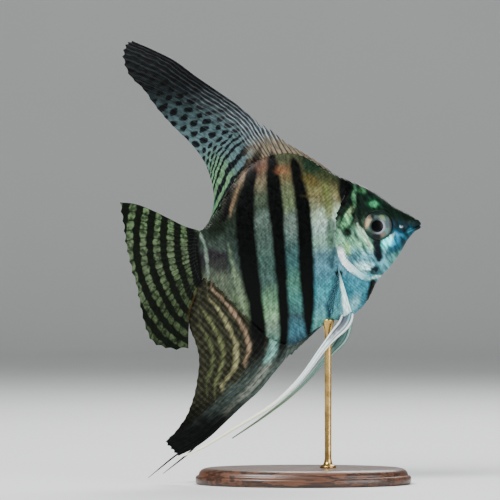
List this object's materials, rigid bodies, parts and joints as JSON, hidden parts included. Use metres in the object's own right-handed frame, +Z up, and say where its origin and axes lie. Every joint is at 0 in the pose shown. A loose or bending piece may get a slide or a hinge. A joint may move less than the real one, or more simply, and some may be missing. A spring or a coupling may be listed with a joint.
{
  "type": "freshwater angelfish",
  "caption": "Still, life-size freshwater angelfish with black bars, swept fins and long trailing feelers, held by an upright rod on a flat oval wooden base.",
  "frame": {"origin": "centre of the stand base's underside", "axes": "+X towards the fish's snout, +Y towards its left side, +Z up"},
  "size_m": [0.1114, 0.05, 0.1647],
  "materials": {
    "skin": "moist scaled skin, silver to blue with black bars",
    "eye": "wet, silver iris with a black pupil",
    "dark_fin": "fine fin rays with pale and black bands",
    "clear_fin": "thin, nearly clear membrane on fine rays",
    "feeler": "white, smooth",
    "wood": "dark walnut, satin",
    "brass": "satin"
  },
  "bodies": {
    "root": {"head": "skin", "upper_jaw": "skin", "lower_jaw": "skin", "gill_cover_left": "skin", "gill_cover_right": "skin", "trunk": "skin", "tail_stem": "skin", "eye_left": "eye", "eye_right": "eye", "dorsal_fin_spines": "dark_fin", "dorsal_fin_rays": "dark_fin", "anal_fin_spines": "dark_fin", "anal_fin_rays": "dark_fin", "tail_fin": "dark_fin", "pectoral_fin_left": "clear_fin", "pectoral_fin_right": "clear_fin", "pelvic_fin_left": "feeler", "pelvic_fin_right": "feeler", "stand_base": "wood", "stand_rod": "brass"}
  },
  "joints": []
}
